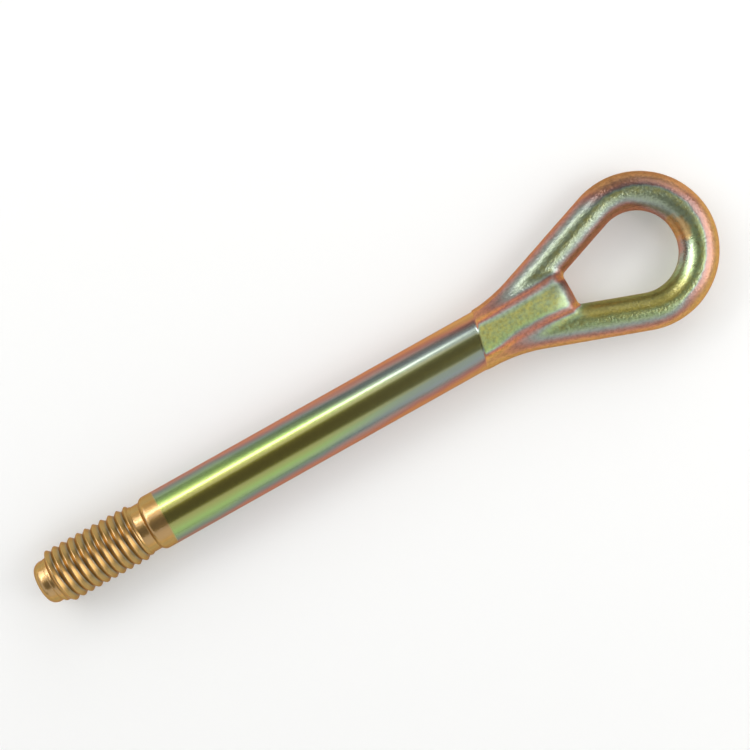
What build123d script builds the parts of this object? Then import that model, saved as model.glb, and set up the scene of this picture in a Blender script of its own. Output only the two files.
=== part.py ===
from build123d import *
import os
from math import cos, radians, sin

# A screw-in towing eye, forged and turned in one piece from round steel bar.
# X runs along the bar's axis, from the threaded end to the eye. The eye lies flat in the XY plane, and Z is up.
# The origin is on the axis, at the inner end of the thread. All sizes are in millimetres and degrees.

# Threaded end. The thread is drawn as a plain cylinder over its crests.
thread_diameter = 16.0
thread_length = 25.4
lead_in_length = 2.2
pilot_diameter = 12.5
pilot_length = 4.0
pilot_rounding = 2.5

# Neck behind the thread, and the bevelled shoulder where the turned shank begins
run_out_length = 0.6
neck_diameter = 14.2
neck_length = 3.0
shoulder_length = 1.4
shank_diameter = 16.0
shank_length = 102.5

# Stub that the shank runs on into between the arms of the eye. It narrows to a rounded end, and carries
# a raised crown above and below, whose flats are level with the shank.
stub_length = 29.0
stub_end_diameter = 15.0
stub_rounding = 2.4
crown_width = 8.0
crown_base_width = 11.0
crown_depth = 3.0

# Eye: two arms that leave the shank side by side, bend apart and close in a round loop of forged rod
rod_diameter = 10.5
far_rod_diameter = 11.3
loop_radius = 16.8
arm_offset = 3.0
arm_bend_radius = 50.0
arm_angle = 19.5
valley_rounding = 1.2

# Places along the axis
quarter_turn = 90.0
lead_in_start = -(thread_length + lead_in_length)
tip = lead_in_start - pilot_length
neck_end = run_out_length + neck_length
shank_start = neck_end + shoulder_length
shank_end = shank_start + shank_length
stub_end = shank_end + stub_length


def turned(*outline):
    """A solid turned about the axis from the corners of its outline, each a place along X and a diameter."""
    corners = [(x, diameter / 2) for x, diameter in outline]
    return revolve(Plane.XZ * make_face(Polyline(*corners, close=True)), Axis.X)


def shank():
    """Pilot, threaded length, neck and shank."""
    bar = turned(
        (tip, 0),
        (tip, pilot_diameter),
        (lead_in_start, pilot_diameter),
        (-thread_length, thread_diameter),
        (0, thread_diameter),
        (run_out_length, neck_diameter),
        (neck_end, neck_diameter),
        (shank_start, shank_diameter),
        (shank_end, shank_diameter),
        (shank_end, 0),
    )
    pilot_rim = bar.edges().filter_by(GeomType.CIRCLE).sort_by(Axis.X)[0]
    return fillet(pilot_rim, pilot_rounding)


def between_flats(shape):
    """What is left of a shape in the stub's length between its flats, which roll over into its end face."""
    side = Pos((shank_end + stub_end) / 2, 0) * Rectangle(stub_length, shank_diameter)
    end_corners = side.vertices().group_by(Axis.X)[-1]
    side = fillet(end_corners, stub_rounding)
    return shape & extrude(Plane.XZ * side, shank_diameter, both=True)


def stub():
    """The tapered end of the bar."""
    cone = turned((shank_end, 0), (shank_end, shank_diameter), (stub_end, stub_end_diameter), (stub_end, 0))
    return between_flats(cone)


def crown():
    """The raised strip with a flat top and sloping flanks along the upper side of the stub."""
    base_height = shank_diameter / 2 - crown_depth
    section = Polyline(
        (-crown_width / 2, shank_diameter / 2),
        (crown_width / 2, shank_diameter / 2),
        (crown_base_width / 2, base_height),
        (-crown_base_width / 2, base_height),
        close=True,
    )
    strip = extrude(Plane.YZ.offset(shank_end) * make_face(section), stub_length)
    return between_flats(strip)


def eye_half():
    """One arm and half of the loop, swept from the end of the shank to the far side of the eye."""
    lean = radians(arm_angle)
    bend = JernArc((shank_end, arm_offset), (1, 0), arm_bend_radius, arm_angle)
    arm_length = (loop_radius * cos(lean) - (bend @ 1).Y) / sin(lean)
    arm = PolarLine(bend @ 1, arm_length, arm_angle)
    loop = JernArc(arm @ 1, arm % 1, loop_radius, -(quarter_turn + arm_angle))
    sections = [
        (bend ^ 0) * Circle(rod_diameter / 2),
        (loop ^ 0) * Circle(rod_diameter / 2),
        (loop ^ 1) * Circle(far_rod_diameter / 2),
    ]
    return sweep(sections=sections, path=Wire([bend, arm, loop]), multisection=True)


def tow_eye():
    """The whole forging, with the valleys between the stub and the arms rounded out."""
    bar = shank() + stub()
    half = eye_half()
    eye = half + mirror(half, Plane.XZ)
    forging = bar + eye
    seams = new_edges(bar, eye, combined=forging)
    valleys = [edge for edge in seams if shank_end < (edge @ 0.5).X < stub_end - stub_rounding]
    forging = fillet(valleys, valley_rounding)
    upper_crown = crown()
    return forging + upper_crown + mirror(upper_crown, Plane.XY)


os.makedirs("parts", exist_ok=True)
export_step(tow_eye(), "parts/tow_eye.step")
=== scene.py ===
from math import cos, pi, radians, sin
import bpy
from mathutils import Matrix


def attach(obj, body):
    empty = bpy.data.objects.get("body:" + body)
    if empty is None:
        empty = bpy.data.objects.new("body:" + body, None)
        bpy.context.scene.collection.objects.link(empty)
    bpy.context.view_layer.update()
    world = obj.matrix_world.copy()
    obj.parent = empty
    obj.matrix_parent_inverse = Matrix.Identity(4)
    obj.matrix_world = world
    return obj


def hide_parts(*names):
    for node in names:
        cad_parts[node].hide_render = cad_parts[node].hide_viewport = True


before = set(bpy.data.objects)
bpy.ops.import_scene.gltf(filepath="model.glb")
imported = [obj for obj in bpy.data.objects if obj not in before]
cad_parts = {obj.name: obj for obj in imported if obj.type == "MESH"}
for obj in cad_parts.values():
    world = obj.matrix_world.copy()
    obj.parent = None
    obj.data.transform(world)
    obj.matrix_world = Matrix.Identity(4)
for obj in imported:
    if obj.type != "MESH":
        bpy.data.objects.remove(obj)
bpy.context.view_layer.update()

from types import SimpleNamespace

import bpy
import numpy as np
from mathutils import Matrix, Vector, noise

# Sizes in millimetres and radians, in the frame of the CAD part: X along the bar, the eye flat in XY, Z up
MM = 0.001

# Turned bar: pilot nose, lead-in, thread, neck, shoulder and shank. The bar's mesh meets the forged end's at JOIN.
TIP, FACE_EDGE, PILOT_R, NOSE_R = -30.6, 3.75, 6.25, 2.5
LEAD_IN, THREAD_START, THREAD_END = -27.0, -25.2, 0.0
NECK_START, NECK_END, NECK_R = 1.05, 3.6, 7.05
SHANK_R, JOIN = 8.0, 100.0

# Thread. ROOT_EDGE and FLANK_WIDTH are shares of the pitch, counted from the middle of a crest.
THREAD_R, THREAD_DEPTH, PITCH, FIRST_CREST = 8.0, 0.92, 2.476, -25.15
ROOT_EDGE, FLANK_WIDTH = 0.475, 0.43
CORE_R, FIRST_CORE_R = THREAD_R - THREAD_DEPTH, PILOT_R + 0.1
THREAD_FADE_IN, THREAD_FADE_OUT = (LEAD_IN - 0.2, LEAD_IN + 0.4), (THREAD_END + 1.3, THREAD_END + 0.1)

# The turned outline without the thread, as places along X and radii
OUTLINE = np.array([
    (TIP + NOSE_R, PILOT_R),
    (LEAD_IN, PILOT_R),
    (THREAD_START, THREAD_R),
    (THREAD_END, THREAD_R),
    (NECK_START, NECK_R),
    (NECK_END, NECK_R),
    (4.35, 7.74),
    (4.7, 7.9),
    (5.0, 7.97),
    (5.3, SHANK_R),
    (JOIN, SHANK_R),
])

# Rings of the bar's mesh: radii on the pilot's face, steps round its rim, then first place, last place and number
AROUND = 128
FACE_RINGS = (0.9, 2.4, 3.5)
NOSE_STEPS = 8
BAR_RINGS = (
    (-27.96, -27.4, 5),    # pilot
    (-27.28, 1.116, 230),  # lead-in, thread and run-out
    (1.3, 3.4, 10),        # neck
    (3.6, 5.6, 18),        # shoulder
    (6.0, 98.8, 46),       # shank
    (99.4, 99.4, 1),       # join
)

# Stub between the arms, with a flat crown above and below that rolls over into the end face.
# The end's upper and lower edges bow back towards the sides, and the crown dips before them.
STUB_START, STUB_END, STUB_END_R, HALF_HEIGHT = 107.5, 136.5, 7.5, 8.0
STUB_ROUND, END_BOW, END_BOW_HEIGHTS = 6.6, 0.05, (1, 7)
END_BLEND, END_BLEND_MORE, END_BLEND_FADE = 0.02, 0.7, (118, 132)
CROWN_HALF, CROWN_SLOPE, CROWN_DOME, CROWN_DEPTH, CROWN_EDGE = 3.7, 0.90, 0.02, 4.5, 1.3
CROWN_DIP, CROWN_DIP_START = 0.012, 126
CROWN_SEAM = 0.3

# The crown is wider and steeper near the cut, and narrower on the lower side further on
NEAR_CUT_FADE, NEAR_CUT_WIDER, NEAR_CUT_STEEPER = (115, 108), 0.8, 0.4
LOWER_FADE, LOWER_NARROWER = (111, 119), 0.7

# Arms and loop. The arms start level with the shank and have the full rod from FULL_ROD on.
ARM_OFFSET, BEND_R, ARM_ANGLE = 3.0, 50.0, radians(19.5)
LOOP_R, ROD_R, FAR_ROD_R = 16.8, 5.25, 5.65
FULL_ROD = 116
LOOP_TURN = pi / 2 + ARM_ANGLE
ARM_START = np.array([STUB_START + BEND_R * sin(ARM_ANGLE), ARM_OFFSET + BEND_R * (1 - cos(ARM_ANGLE))])
ARM_DIR = np.array([cos(ARM_ANGLE), sin(ARM_ANGLE)])
ARM_LENGTH = (LOOP_R * cos(ARM_ANGLE) - ARM_START[1]) / sin(ARM_ANGLE)
LOOP_X = ARM_START[0] + ARM_LENGTH * cos(ARM_ANGLE) + LOOP_R * sin(ARM_ANGLE)

# The slanting cut where the turning ends, the step down behind it, and the rounding of valleys
CUT_X, CUT_SLOPE = 107.6, 0.26
CUT_OVERLAP, CUT_STEP, CUT_STEP_LENGTH, CUT_SEAM = 0.4, 0.06, 12, 0.12
VALLEY = 1.3

# Net over the forged end: size of its cells, and the box it is looked for in
CELL = 0.38
NET_LOW = np.array([JOIN - 3 * CELL, -23.0, -9.0])
NET_HIGH = np.array([181.5, 23.0, 9.0])
SLOPE_STEP = 0.02
SMALL = 1e-6

# Forged relief as height, size of its features and seed. It fades in behind the cut.
RELIEF = ((0.03, 7.0, 1), (0.01, 2.6, 2), (0.008, 1.1, 3))
RELIEF_FADE = (0.0, 1.2)
SEED_SHIFT = Vector((17.3, 5.1, 9.7))

# The film's colours by its value, from 0 where the surface lies level. The value follows the surface's tilt
# as seen from straight above, so these colours are a painted iridescence, the film's shift of colour with the
# angle of view; from about 0.8 up they are also darkened as painted shade on the steep sides. The film is thick
# near the thread and thin towards the eye.
FILM_TOP = 4.0
THICK_FILM = (
    (0.00, (0.53, 0.45, 0.07)),
    (0.18, (0.50, 0.54, 0.12)),
    (0.45, (0.45, 0.69, 0.17)),
    (0.65, (0.42, 0.60, 0.25)),
    (0.84, (0.31, 0.42, 0.27)),
    (1.02, (0.27, 0.32, 0.27)),
    (1.22, (0.38, 0.265, 0.24)),
    (1.48, (0.54, 0.255, 0.20)),
    (1.90, (0.58, 0.27, 0.17)),
    (2.60, (0.62, 0.33, 0.13)),
    (3.40, (0.65, 0.38, 0.11)),
)
THIN_FILM = (
    (0.00, (0.58, 0.53, 0.14)),
    (0.25, (0.44, 0.47, 0.23)),
    (0.40, (0.36, 0.43, 0.33)),
    (0.76, (0.34, 0.42, 0.36)),
    (1.00, (0.345, 0.405, 0.39)),
    (1.28, (0.37, 0.37, 0.335)),
    (1.59, (0.455, 0.30, 0.265)),
    (1.95, (0.465, 0.215, 0.175)),
    (2.35, (0.59, 0.26, 0.15)),
    (2.80, (0.63, 0.32, 0.14)),
    (3.50, (0.66, 0.41, 0.15)),
)
FILM_BEND = 0.346  # one over the square of the film's refractive index

# Other colours of the part
# The steep brass colour is painted shade on the brass's sides.
BRASS_DARK, BRASS_LIGHT, BRASS_SIDE_SHADE = (0.66, 0.37, 0.10, 1), (0.74, 0.45, 0.15, 1), (0.47, 0.315, 0.115, 1)
# The dull groove colour is painted shade in the thread's grooves.
GROOVE_SHADE, PATCH_GOLD, PIT_DARK = (0.25, 0.25, 0.18, 1), (0.76, 0.41, 0.09, 1), (0.03, 0.03, 0.02, 1)
# The paler factor is painted light on the level forging.
PLAIN, PAINTED_LIGHT = (1, 1, 1, 1), (1.32, 1.26, 1.17, 1)
EDGE_TINT = (0.85, 0.55, 0.42, 1)
COAT_IOR, COAT_ROUGHNESS = 1.9, 0.1
BUMP_HEIGHT = 0.00011

# Border of the brass, which leans back towards the sides, and sizes of noise in features per millimetre
BRASS_BORDER, BRASS_LEAN = (8.4, 7.7), 0.169
BRASS_CLOUDS, FILM_CLOUDS, FILM_MOTTLE = 0.09, 0.06, 0.7
RAGGED_BORDER, PATCH_BORDER = 0.42, 0.33
PITS, WEAR, FINE_GRAIN = 1.0, 0.7, 1.6

# Floor in metres: white paper that glows a little where it is seen, and more far from the part
FLOOR_SIZE = 40
FLOOR_WHITE, FLOOR_GLOW = (0.82, 0.82, 0.81, 1), (1.0, 1.0, 0.985, 1)
FLOOR_ROUGHNESS, FLOOR_SPECULAR = 0.9, 0.2
GLOW_NEAR, GLOW_MORE, GLOW_FADE = 0.12, 0.72, (0.3, 1.5)

# Soft panels in degrees and metres: angle from the vertical, azimuth from +X to +Y, distance, width, height,
# radiance, and whether the metal mirrors it
MIDDLE = Vector((0.075, 0, 0))
PANELS = {
    "window": (42.5, 116, 0.8, 0.84, 0.54, 0.7, True),
    "window_core": (46, 119, 0.78, 0.78, 0.10, 3.9, True),
    "window_side": (64, 128, 0.8, 0.50, 0.35, 1.5, True),
    "back_wall": (76, 90, 0.9, 1.8, 0.44, 0.18, True),
    "wall": (60, 270, 0.8, 1.9, 0.84, 0.52, True),
    "lamp": (60, 343, 0.8, 0.74, 0.50, 2.1, True),
    "right_wall": (60, 34, 0.8, 0.42, 0.45, 0.7, True),
    "left_wall": (62, 180, 0.9, 0.90, 0.45, 0.5, True),
    "lamp_high": (34, 330, 0.8, 0.26, 0.28, 2.3, True),
    "fill": (62, 50, 0.9, 0.80, 0.50, 1.6, False),
    "ceiling": (0, 0, 1.3, 2.2, 2.2, 0.485, False),
}
WORLD_GREY = (0.095, 0.095, 0.095, 1)
CAMERA_PLACE, CAMERA_TURN, LENS, SENSOR = (0.07792, 0.0058, 0.414), radians(-29.2886), 72, 36


def smoothstep(low, high, value):
    """Rises smoothly from 0 at low to 1 at high, where low may also be the larger of the two."""
    t = np.clip((value - low) / (high - low), 0, 1)
    return t * t * (3 - 2 * t)


def smooth_min(a, b, width):
    """The smaller of two distances, with the crease where they meet rounded over about that width."""
    h = np.clip(0.5 + 0.5 * (b - a) / width, 0, 1)
    return b * (1 - h) + a * h - width * h * (1 - h)


def smooth_max(a, b, width):
    """The larger of two distances, with the edge where they meet rounded over about that width."""
    return -smooth_min(-a, -b, width)


def grain(points, scale, seed):
    """Smooth noise between about -1 and 1 at points in mm, with features of about that many mm."""
    shift = seed * SEED_SHIFT
    return np.array([noise.noise(Vector(p) / scale + shift) for p in points])


def bar_radius(x, theta):
    """Radius of the turned bar from the pilot to the shank, with a right-hand thread."""
    envelope = np.interp(x, *OUTLINE.T)
    turn = (x - FIRST_CREST) / PITCH - theta / (2 * pi)
    away = np.abs(turn - np.round(turn))
    tooth = np.clip((ROOT_EDGE - away) / FLANK_WIDTH, 0, 1)
    core = FIRST_CORE_R if x < THREAD_START + PITCH else CORE_R
    threaded = np.maximum(envelope - THREAD_DEPTH * (1 - tooth), min(core, envelope))
    inside = smoothstep(*THREAD_FADE_IN, x) * smoothstep(*THREAD_FADE_OUT, x)
    return envelope * (1 - inside) + threaded * inside


def bar_mesh():
    """Rings of points from the middle of the pilot's face to the join, as (points, faces, last ring)."""
    theta = np.arange(AROUND) * 2 * pi / AROUND
    turns = np.linspace(0, pi / 2, NOSE_STEPS + 1)
    rings = [(TIP, r) for r in FACE_RINGS]
    rings += [(TIP + NOSE_R * (1 - cos(a)), FACE_EDGE + NOSE_R * sin(a)) for a in turns]
    for x in np.concatenate([np.linspace(*row) for row in BAR_RINGS]):
        rings.append((x, bar_radius(x, theta)))
    points = [np.array([[TIP, 0, 0]])]
    for x, r in rings:
        points.append(np.column_stack([np.full(AROUND, x), r * np.cos(theta), r * np.sin(theta)]))
    k = np.arange(AROUND)
    nxt = (k + 1) % AROUND
    faces = [(0, 1 + b, 1 + a) for a, b in zip(k, nxt)]
    for ring in range(len(rings) - 1):
        a, b = 1 + ring * AROUND, 1 + (ring + 1) * AROUND
        faces += list(zip(a + k, a + nxt, b + nxt, b + k))
    last = 1 + (len(rings) - 1) * AROUND + k
    return np.concatenate(points), faces, last


def rod_distance(x, y, z):
    """Distance to the two arms and the loop, whose middle line lies in the XY plane."""
    y = np.abs(y)
    turn = np.clip(np.arctan2(x - STUB_START, ARM_OFFSET + BEND_R - y), 0, ARM_ANGLE)
    bend = np.hypot(x - STUB_START - BEND_R * np.sin(turn), y - ARM_OFFSET - BEND_R * (1 - np.cos(turn)))
    along = np.clip((x - ARM_START[0]) * ARM_DIR[0] + (y - ARM_START[1]) * ARM_DIR[1], 0, ARM_LENGTH)
    arm = np.hypot(x - ARM_START[0] - along * ARM_DIR[0], y - ARM_START[1] - along * ARM_DIR[1])
    round_loop = np.clip(np.arctan2(y, x - LOOP_X), 0, LOOP_TURN)
    loop = np.hypot(x - LOOP_X - LOOP_R * np.cos(round_loop), y - LOOP_R * np.sin(round_loop))
    flat = np.minimum(np.minimum(bend, arm), loop)
    far = 1 - round_loop / LOOP_TURN
    level_with_shank = (ARM_OFFSET + ROD_R - SHANK_R) * smoothstep(FULL_ROD, STUB_START, x)
    return np.hypot(flat, z) - (ROD_R + (FAR_ROD_R - ROD_R) * far - level_with_shank)


def stub_distance(x, y, z):
    """Distance to the tapered end of the bar with its flat crowns and rounded end."""
    height = np.abs(z)
    r = SHANK_R + (STUB_END_R - SHANK_R) * np.clip((x - STUB_START) / (STUB_END - STUB_START), 0, 1)
    cone = np.hypot(y, z) - r
    near_cut = smoothstep(*NEAR_CUT_FADE, x)
    half = CROWN_HALF + NEAR_CUT_WIDER * near_cut - LOWER_NARROWER * smoothstep(*LOWER_FADE, x) * (y < 0)
    slope = CROWN_SLOPE - NEAR_CUT_STEEPER * near_cut
    flank = (np.abs(y) - half - slope * (HALF_HEIGHT - height)) / np.hypot(1, slope)
    top = HALF_HEIGHT - CROWN_DOME * y * y - CROWN_DIP * np.maximum(x - CROWN_DIP_START, 0) ** 2
    crown = smooth_max(height - top, flank, CROWN_EDGE)
    crown = np.maximum(crown, HALF_HEIGHT - CROWN_DEPTH - height)
    section = smooth_min(cone, crown, CROWN_SEAM)
    bow = END_BOW * y * y * smoothstep(*END_BOW_HEIGHTS, height)
    qx, qz = x - (STUB_END - STUB_ROUND - bow), height - (HALF_HEIGHT - STUB_ROUND)
    rolled = np.hypot(np.maximum(qx, 0), np.maximum(qz, 0)) + np.minimum(np.maximum(qx, qz), 0) - STUB_ROUND
    blend = END_BLEND + END_BLEND_MORE * smoothstep(*END_BLEND_FADE, x)
    return smooth_max(np.maximum(section, x - STUB_END), rolled, blend)


def fork_distance(x, y, z):
    """Distance to the forged end: shank, stub, arms and loop, with rounded valleys between them."""
    forged = smooth_min(stub_distance(x, y, z), rod_distance(x, y, z), VALLEY)
    cut = CUT_X + CUT_SLOPE * y - x
    forged = np.maximum(forged + CUT_STEP * smoothstep(CUT_STEP_LENGTH, 0, -cut), cut)
    turned = np.maximum(np.hypot(y, z) - SHANK_R, -cut - CUT_OVERLAP)
    return smooth_min(turned, forged, CUT_SEAM)


def fork_mesh():
    """A net of four-sided faces over the forged end from the join on, as (points, faces)."""
    count = np.ceil((NET_HIGH - NET_LOW) / CELL).astype(int)
    axes = [NET_LOW[i] + CELL * np.arange(count[i] + 1) for i in range(3)]
    inside = fork_distance(*np.meshgrid(*axes, indexing="ij")) < 0
    corners_inside = np.zeros(count, int)
    for i, j, k in np.ndindex(2, 2, 2):
        corners_inside += inside[i:count[0] + i, j:count[1] + j, k:count[2] + k]
    # One point in each cell that the surface crosses
    crossed = (corners_inside > 0) & (corners_inside < 8)
    number = np.full(count, -1)
    number[crossed] = np.arange(crossed.sum())
    points = NET_LOW + CELL * (np.argwhere(crossed) + 0.5)
    # One face across each grid edge that the surface crosses, between the points of the four cells around it
    faces = []
    for axis in range(3):
        b, c = (axis + 1) % 3, (axis + 2) % 3
        here, there = [slice(1, -1)] * 3, [slice(1, -1)] * 3
        here[axis], there[axis] = slice(0, -1), slice(1, None)
        start, stop = inside[tuple(here)], inside[tuple(there)]
        at = np.argwhere(start != stop)
        leaves = start[start != stop]
        at[:, b] += 1
        at[:, c] += 1
        corners = []
        for db, dc in ((0, 0), (-1, 0), (-1, -1), (0, -1)):
            cell = at.copy()
            cell[:, b] += db
            cell[:, c] += dc
            corners.append(number[tuple(cell.T)])
        quads = np.stack(corners, axis=1)
        quads[~leaves] = quads[~leaves][:, ::-1]
        faces.append(quads)
    return points, np.concatenate(faces)


def surface_slope(points):
    """How fast the distance to the forged end grows along X, Y and Z."""
    slope = np.empty_like(points)
    for i, shift in enumerate(SLOPE_STEP * np.eye(3)):
        rise = fork_distance(*(points + shift).T) - fork_distance(*(points - shift).T)
        slope[:, i] = rise / (2 * SLOPE_STEP)
    return slope


def settle(points, steps):
    """Moves points onto the zero surface of the forged end."""
    for _ in range(steps):
        slope = surface_slope(points)
        share = fork_distance(*points.T) / np.maximum((slope ** 2).sum(1), SMALL)
        points = points - slope * share[:, None]
    return points


def sides_of(faces):
    """The sides of four-sided faces, as pairs of points."""
    return np.concatenate([faces[:, [i, (i + 1) % 4]] for i in range(4)])


def relax(points, faces, steps=6):
    """Evens out the net along the surface."""
    first, second = sides_of(faces).T
    degree = np.bincount(first, minlength=len(points)) + np.bincount(second, minlength=len(points))
    for _ in range(steps):
        total = np.zeros_like(points)
        for i in range(3):
            total[:, i] = np.bincount(first, points[second, i], len(points))
            total[:, i] += np.bincount(second, points[first, i], len(points))
        points = settle(points * 0.5 + 0.5 * total / np.maximum(degree, 1)[:, None], 1)
    return settle(points, 2)


def forged_end():
    """The net over the forged end, evened out, cut off at the join and with its relief, as (points, faces)."""
    points, faces = fork_mesh()
    points = relax(settle(points, 3), faces)
    faces = faces[(points[:, 0] > JOIN)[faces].all(axis=1)]
    used = np.unique(faces)
    renumber = np.full(len(points), -1)
    renumber[used] = np.arange(len(used))
    points, faces = points[used], renumber[faces]
    forged = smoothstep(*RELIEF_FADE, points[:, 0] - CUT_X - CUT_SLOPE * points[:, 1])
    slope = surface_slope(points)
    normal = slope / np.linalg.norm(slope, axis=1)[:, None]
    relief = sum(height * grain(points, size, seed) for height, size, seed in RELIEF)
    return points + normal * (forged * relief)[:, None], faces


def open_rim(points, faces):
    """The points along the net's open edge, in order of their angle round the bar, as (rim, angles)."""
    sides = sides_of(faces)
    _, first, times = np.unique(np.sort(sides, axis=1), axis=0, return_index=True, return_counts=True)
    rim = np.unique(sides[first[times == 1]])
    angles = np.arctan2(points[rim, 2], points[rim, 1]) % (2 * pi)
    order = np.argsort(angles)
    return rim[order], angles[order]


def joining_strip(ring, ring_angles, rim, rim_angles):
    """Triangles between two closed rings of points, which both start near angle 0."""
    next_ring = np.concatenate([ring_angles[1:], [2 * pi + ring_angles[0], np.inf]])
    next_rim = np.concatenate([rim_angles[1:], [2 * pi + rim_angles[0], np.inf]])
    strip = []
    i = j = 0
    while i < len(ring) or j < len(rim):
        a, b = ring[i % len(ring)], rim[j % len(rim)]
        if next_ring[i] <= next_rim[j]:
            i += 1
            strip.append((a, ring[i % len(ring)], b))
        else:
            j += 1
            strip.append((a, rim[j % len(rim)], b))
    return strip


def build_part():
    """One closed mesh: the turned bar, the forged end and the strip that joins them."""
    bar, bar_faces, ring = bar_mesh()
    fork, fork_faces = forged_end()
    rim, rim_angles = open_rim(fork, fork_faces)
    ring_angles = np.arange(AROUND) * 2 * pi / AROUND
    strip = joining_strip(ring, ring_angles, rim + len(bar), rim_angles)
    points = np.concatenate([bar, fork]) * MM
    faces = [[int(v) for v in face] for face in bar_faces + strip]
    faces += (fork_faces + len(bar)).tolist()
    mesh = bpy.data.meshes.new("tow_eye_forging")
    mesh.from_pydata(points.tolist(), [], faces)
    mesh.shade_smooth()
    mesh.update()
    piece = bpy.data.objects.new("tow_eye_forging", mesh)
    bpy.context.scene.collection.objects.link(piece)
    return piece


class Nodes:
    """Adds shader nodes to a material and joins them."""

    def __init__(self, material):
        material.use_nodes = True
        self.tree = material.node_tree
        self.shader = self.tree.nodes["Principled BSDF"]

    def add(self, kind, inputs=None, **settings):
        """A new node with its settings and its inputs."""
        node = self.tree.nodes.new(kind)
        for name, value in settings.items():
            setattr(node, name, value)
        for name, value in (inputs or {}).items():
            self.put(node.inputs[name], value)
        return node

    def put(self, socket, value):
        """Links another node's output to a socket, or sets the socket to a constant."""
        if isinstance(value, bpy.types.NodeSocket):
            self.tree.links.new(value, socket)
        else:
            socket.default_value = value

    def math(self, operation, *values):
        """The result of a math node."""
        node = self.add("ShaderNodeMath", operation=operation)
        for socket, value in zip(node.inputs, values):
            self.put(socket, value)
        return node.outputs[0]

    def product(self, value, *others):
        """A value times all the others."""
        for other in others:
            value = self.math("MULTIPLY", value, other)
        return value

    def total(self, value, *parts):
        """A value plus parts, each a mask and the amount it counts."""
        for mask, amount in parts:
            value = self.math("MULTIPLY_ADD", mask, amount, value)
        return value

    def less(self, value, other):
        """A value less another."""
        return self.math("SUBTRACT", value, other)

    def step(self, low, high, value):
        """Rises smoothly from 0 at low to 1 at high, where low may also be the larger of the two."""
        return self.add("ShaderNodeMapRange", {"Value": value, "From Min": low, "From Max": high},
                        interpolation_type="SMOOTHSTEP").outputs["Result"]

    def ramp(self, value, top, stops):
        """Colours along a value from 0 to top."""
        node = self.add("ShaderNodeValToRGB", {"Fac": self.math("DIVIDE", value, top)})
        band = node.color_ramp
        while len(band.elements) < len(stops):
            band.elements.new(0.5)
        for element, (at, colour) in zip(band.elements, stops):
            element.position = at / top
            element.color = (*colour, 1)
        return node.outputs["Color"]

    def mix(self, share, a, b):
        """Colour a where the share is 0 and b where it is 1."""
        node = self.add("ShaderNodeMix", data_type="RGBA")
        for index, value in ((0, share), (6, a), (7, b)):
            self.put(node.inputs[index], value)
        return node.outputs[2]

    def noise(self, vector, scale, detail=3.0, rough=0.55):
        """Cloudy noise from 0 to 1, about 0.5 in the middle."""
        return self.add("ShaderNodeTexNoise", {"Vector": vector, "Scale": scale, "Detail": detail,
                                               "Roughness": rough}).outputs["Fac"]


def plating_zones(n):
    """Places in millimetres and masks from 0 to 1 that the plating's looks depend on."""
    coords = n.add("ShaderNodeTexCoord")
    spot = n.add("ShaderNodeVectorMath", {"Vector": coords.outputs["Object"], "Scale": 1 / MM}, operation="SCALE")
    spot = spot.outputs["Vector"]
    place = n.add("ShaderNodeSeparateXYZ", {"Vector": spot})
    x, y, z = place.outputs["X"], place.outputs["Y"], place.outputs["Z"]
    up = n.add("ShaderNodeSeparateXYZ", {"Vector": coords.outputs["Normal"]}).outputs["Z"]
    aside = n.math("ABSOLUTE", y)

    # Brass up to just past the shoulder, turned shank, forged eye behind a slanting cut
    brass = n.step(*BRASS_BORDER, n.total(x, (n.math("ABSOLUTE", z), -BRASS_LEAN)))
    forged = n.step(-0.2, 0.4, n.less(x, n.total(CUT_X, (y, CUT_SLOPE))))
    stub = n.product(n.step(STUB_END + 0.7, STUB_END - 0.3, x), n.step(6.2, 4.8, aside), forged)
    flank = n.product(stub, n.step(2.6, 4.0, aside))
    eye = n.product(forged, n.less(1.0, stub))

    # How far a point lies outside (+) or inside (-) the middle line of the arms and the loop, with a ragged border
    ragged = 1.2
    from_centre = n.less(x, LOOP_X)
    along = n.total(n.product(aside, ARM_DIR[1]), (from_centre, ARM_DIR[0]))
    along = n.math("MAXIMUM", along, 0.0)
    across = n.total(n.product(aside, ARM_DIR[0]), (from_centre, -ARM_DIR[1]))
    reach = n.math("SQRT", n.total(n.product(along, along), (across, across)))
    side = n.total(n.less(reach, LOOP_R + ragged / 2), (n.noise(spot, RAGGED_BORDER), ragged))

    # Parts of the eye
    outer = n.product(eye, n.step(0.3, 1.4, side))
    inner = n.product(eye, n.step(-0.3, -1.4, side))
    lower_inner = n.product(inner, n.step(-2, -7.5, y), n.step(133.5, 137.5, x), n.step(169, 160, x))
    far_inner = n.product(inner, n.step(160, 168, x))
    # Painted highlight: a lighter band on the outer slope where the upper arm runs into the loop, which also shifts the
    # film's colour
    band = n.product(n.step(1.0, 2.2, side), n.step(4.8, 3.4, side), outer, n.step(150, 157, x), n.step(4, 11, y))

    # Angle of the light in the film for a view from straight above, from 0 where the surface is level. The film colours
    # laid out by it are painted iridescence.
    slant = n.math("SQRT", n.total(1 - FILM_BEND, (n.product(up, up), FILM_BEND)))
    return SimpleNamespace(
        spot=spot, x=x, y=y, z=z, side=side, slant=n.less(1.0, slant),
        brass=brass, forged=forged, stub=stub, flank=flank, flat=n.less(stub, flank),
        outer=outer, inner=inner, lower_inner=lower_inner, far_inner=far_inner, band=band,
        upper=n.step(-4, 2, y),
        loop=n.step(147, 158, x),
        # A polished spot low on the far inner side of the loop: glossier and smoother, and lighter as a painted
        # highlight
        polish_and_highlight=n.product(far_inner, n.step(1, -4, y)),
        # Painted shade deep on the lower arm's inner side, which is made darker
        lower_inner_shade=n.product(lower_inner, n.step(-2.2, -4.5, side)),
    )


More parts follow.
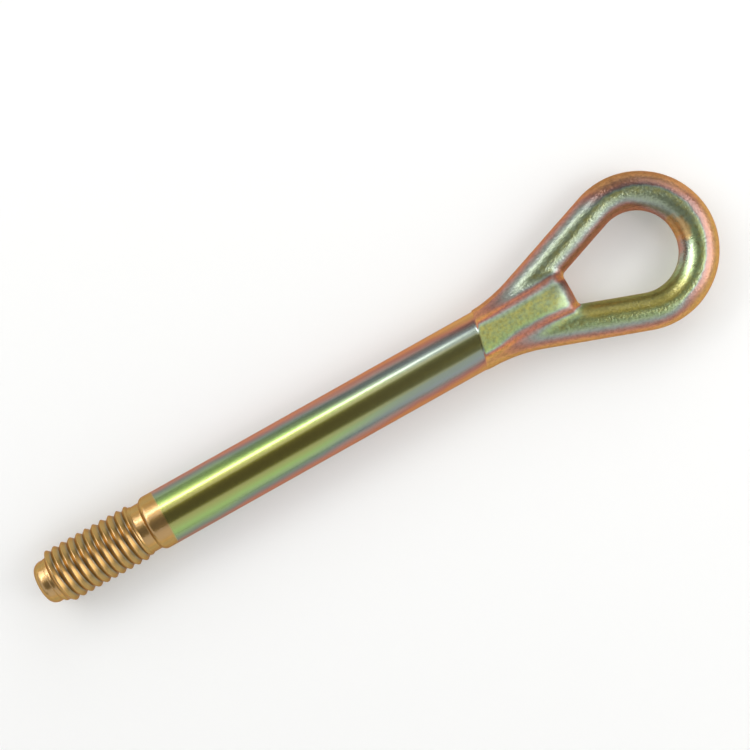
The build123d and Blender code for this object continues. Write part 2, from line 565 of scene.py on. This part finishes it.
def film_value(n, at):
    """The film's place in its row of colours, fitted to the photograph.

    It follows the slant of the surface, faster where its width is small.
    """
    arm_width = n.total(0.012, (at.upper, 0.024))
    loop_width = n.total(0.004, (n.step(-6, 14, at.y), 0.05))
    outer_width = n.add("ShaderNodeMix", {"Factor": at.loop, "A": arm_width, "B": loop_width}).outputs["Result"]
    width = n.total(
        n.math("MAXIMUM", n.total(0.1403, (at.x, -0.000875)), 0.047),
        (at.outer, outer_width),
        (at.far_inner, 0.09),
        (at.lower_inner, 0.6),
        (n.product(at.flat, n.step(126, 132, at.x)), 0.03),
    )
    cloud = n.total(0.75, (n.noise(at.spot, FILM_CLOUDS), 0.5))
    pink = n.step(147, 158, n.total(at.x, (n.less(1.0, at.upper), -9)))
    mottle = n.noise(at.spot, FILM_MOTTLE, 4.0, 0.65)
    behind_cut = n.product(at.forged, n.step(121.5, 112, at.x), n.step(0.02, 0.08, at.slant))
    film = n.total(
        n.math("DIVIDE", at.slant, n.product(width, cloud)),
        (n.product(at.outer, pink), 1.25),
        (n.product(n.less(at.forged, at.lower_inner), mottle), 0.6),
        (n.product(at.flat, n.step(0, 2.5, at.y)), -0.10),
        (behind_cut, 0.55),
        (at.band, 0.45),
    )
    return n.math("MINIMUM", film, n.total(FILM_TOP, (at.inner, -1.8)))


def brass_colour(n, at):
    """Yellow plating on the thread, neck and shoulder, darker where it turns steep and duller and darker in the
    thread's grooves, both painted shade.
    """
    gold = n.mix(n.noise(at.spot, BRASS_CLOUDS), BRASS_DARK, BRASS_LIGHT)
    # Painted shade: the brass is darker where it turns steep towards the sides
    gold = n.mix(n.step(0.08, 0.112, at.slant), gold, BRASS_SIDE_SHADE)
    radius = n.math("SQRT", n.total(n.product(at.z, at.z), (at.y, at.y)))
    # Painted shade in the thread's grooves: duller and darker there
    groove_shade = n.product(
        n.step(THREAD_R - 0.4, THREAD_R - 1.1, radius),
        n.step(THREAD_END + 0.4, THREAD_END - 0.4, at.x),
        n.step(THREAD_START - 0.4, THREAD_START + 0.2, at.x),
    )
    return n.mix(groove_shade, gold, GROOVE_SHADE)


def film_colour(n, at, film):
    """The film's green to pink, laid out by tilt as painted iridescence, with a golden patch at the far side inside the
    loop.
    """
    on_shank = n.product(n.step(45, 95, at.x), n.less(1.0, at.forged))
    thin = n.total(on_shank, (at.forged, n.total(0.6, (at.upper, 0.25))))
    colour = n.mix(thin, n.ramp(film, FILM_TOP, THICK_FILM), n.ramp(film, FILM_TOP, THIN_FILM))
    from_patch = n.math("ABSOLUTE", n.less(n.total(at.y, (n.noise(at.spot, PATCH_BORDER), 6)), 3.4))
    patch = n.product(n.step(-1.6, -3.0, at.side), n.step(4.2, 2.2, from_patch), n.step(165, 168, at.x))
    return n.mix(n.product(patch, 0.65), colour, PATCH_GOLD)


def brightness(n, at):
    """Painted light and shade, fitted to the photograph: the stub lighter and its flanks more so, painted highlights
    low on the far inner side of the loop and along a band where the upper arm runs into the loop, painted shade on the
    lower arm's inner side, on the loop's upper outer side and on the shank's sides, and the stub's upper end corner
    darker.
    """
    # Painted shade on the upper outer side of the loop
    loop_top_shade = n.product(at.outer, at.loop, n.step(9, 16, at.y))
    stub_corner = n.product(at.flat, n.step(129, 133, at.x), n.step(0, 2.2, at.y))
    on_shank = n.step(0.5, 0, n.math("ADD", at.forged, at.brass))
    # Painted shade on the turned shank's sides, where they turn away from level
    shank_side_shade = n.less(n.step(0.07, 0.10, at.slant), n.step(0.13, 0.165, at.slant))
    return n.total(
        1.0,
        # Painted light: the stub is lighter and its flanks more so
        (at.stub, 0.1),
        (at.flank, 0.3),
        (at.lower_inner_shade, -0.2),
        (at.polish_and_highlight, 0.35),
        (loop_top_shade, -0.35),
        (at.band, 0.3),
        (stub_corner, -0.35),
        (n.product(shank_side_shade, on_shank), -0.22),
    )


def roughness(n, at):
    """Turned surfaces are glossy, forged ones satin, and the stub's flats matt up to their end."""
    stub_rough = n.total(0.40, (n.step(124, 132, at.x), -0.28))
    valley = n.product(
        n.step(-4.4, -5.2, at.y), n.step(-8.0, -6.6, at.y),
        n.step(121, 126, at.x), n.step(140, 137, at.x),
    )
    wear = n.less(n.noise(at.spot, WEAR, 4.0, 0.6), 0.5)
    return n.total(
        0.25,
        (at.forged, 0.11),
        (at.stub, stub_rough),
        (at.polish_and_highlight, -0.08),
        (valley, 0.25),
        (at.brass, 0.08),
        (wear, n.total(0.04, (at.forged, 0.12))),
    )


def surface_grain(n, at):
    """Fine grain on the forging, and a little on the brass."""
    smoother = n.math("MAXIMUM", n.product(at.polish_and_highlight, 0.6), n.product(at.stub, n.step(124, 130, at.x)))
    strength = n.total(0.01, (at.brass, 0.25), (at.forged, 0.95), (smoother, -0.8))
    height = n.noise(at.spot, FINE_GRAIN, 2.0, 0.5)
    bump = n.add("ShaderNodeBump", {"Height": height, "Strength": strength, "Distance": BUMP_HEIGHT})
    return bump.outputs["Normal"]


def plated_steel():
    """Zinc plating with an iridescent yellow film: brass at the thread, green to pink on the shank and the eye."""
    material = bpy.data.materials.new("plated_steel")
    n = Nodes(material)
    at = plating_zones(n)
    film = film_value(n, at)
    colour = n.mix(at.brass, film_colour(n, at, film), brass_colour(n, at))
    pits = n.product(at.forged, n.step(0.62, 0.30, n.noise(at.spot, PITS, 3.0, 0.6)))
    colour = n.mix(n.product(pits, 0.25), colour, PIT_DARK)

    # Painted light: the forging is paler where it lies flat
    level = n.product(n.less(at.forged, at.lower_inner_shade), n.step(1.6, 0.9, film))
    lift = n.mix(level, PLAIN, PAINTED_LIGHT)
    colour = n.add("ShaderNodeVectorMath", {0: colour, 1: lift}, operation="MULTIPLY").outputs["Vector"]
    # The painted light and shade from brightness() scale the colour
    colour = n.add("ShaderNodeVectorMath", {"Vector": colour, "Scale": brightness(n, at)}, operation="SCALE")

    # A clear coat where the surface is nearly level, weaker on the stub
    coat = n.product(n.step(0.09, 0.05, at.slant), n.total(0.95, (at.forged, -0.15)), n.total(1.0, (at.stub, -0.7)))
    normal = surface_grain(n, at)
    for name, value in {
        "Base Color": colour.outputs["Vector"],
        "Metallic": 1.0,
        "Specular Tint": EDGE_TINT,
        "Roughness": roughness(n, at),
        "Coat Weight": coat,
        "Coat IOR": COAT_IOR,
        "Coat Roughness": COAT_ROUGHNESS,
        "Coat Normal": normal,
        "Normal": normal,
    }.items():
        n.put(n.shader.inputs[name], value)
    return material


def floor_paper():
    """White paper that keeps a light shadow of the part, and stays white far from the lamps."""
    material = bpy.data.materials.new("floor_white")
    n = Nodes(material)
    path = n.add("ShaderNodeLightPath")
    seen = n.math("MAXIMUM", path.outputs["Is Camera Ray"], path.outputs["Is Glossy Ray"])
    seen = n.math("MAXIMUM", seen, path.outputs["Is Transmission Ray"])
    place = n.add("ShaderNodeTexCoord").outputs["Object"]
    away = n.add("ShaderNodeVectorMath", {0: place}, operation="LENGTH").outputs["Value"]
    glow = n.total(GLOW_NEAR, (n.step(*GLOW_FADE, away), GLOW_MORE))
    for name, value in {
        "Base Color": FLOOR_WHITE,
        "Roughness": FLOOR_ROUGHNESS,
        "Specular IOR Level": FLOOR_SPECULAR,
        "Emission Color": FLOOR_GLOW,
        "Emission Strength": n.product(seen, glow),
    }.items():
        n.put(n.shader.inputs[name], value)
    return material


def panel(name, polar, azimuth, distance, width, height, radiance, glossy):
    """A soft panel facing the middle of the part. Polar is its angle from the vertical, azimuth turns from +X to +Y."""
    data = bpy.data.lights.new(name, "AREA")
    data.shape = "RECTANGLE"
    data.size = width
    data.size_y = height
    data.energy = radiance * pi * width * height
    light = bpy.data.objects.new(name, data)
    polar, azimuth = radians(polar), radians(azimuth)
    z = Vector((sin(polar) * cos(azimuth), sin(polar) * sin(azimuth), cos(polar)))
    x = Vector((-sin(azimuth), cos(azimuth), 0))
    turn = Matrix((x, z.cross(x), z)).transposed().to_4x4()
    light.matrix_world = Matrix.Translation(MIDDLE + z * distance) @ turn
    light.visible_glossy = glossy
    light.visible_camera = False
    bpy.context.scene.collection.objects.link(light)


piece = build_part()
piece.data.materials.append(plated_steel())
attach(piece, "root")
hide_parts("tow_eye")

# Floor, lights and camera
bpy.ops.mesh.primitive_plane_add(size=FLOOR_SIZE, location=(MIDDLE.x, 0, -HALF_HEIGHT * MM))
floor = bpy.context.object
floor.name = "floor"
floor.data.materials.append(floor_paper())

for name, settings in PANELS.items():
    panel(name, *settings)

world = bpy.data.worlds.new("studio")
world.use_nodes = True
world.node_tree.nodes["Background"].inputs["Color"].default_value = WORLD_GREY
bpy.context.scene.world = world

camera = bpy.data.objects.new("camera", bpy.data.cameras.new("camera"))
camera.data.lens = LENS
camera.data.sensor_width = SENSOR
camera.location = CAMERA_PLACE
camera.rotation_euler = (0, 0, CAMERA_TURN)
bpy.context.scene.collection.objects.link(camera)
bpy.context.scene.camera = camera
bpy.context.scene.view_settings.view_transform = "Standard"
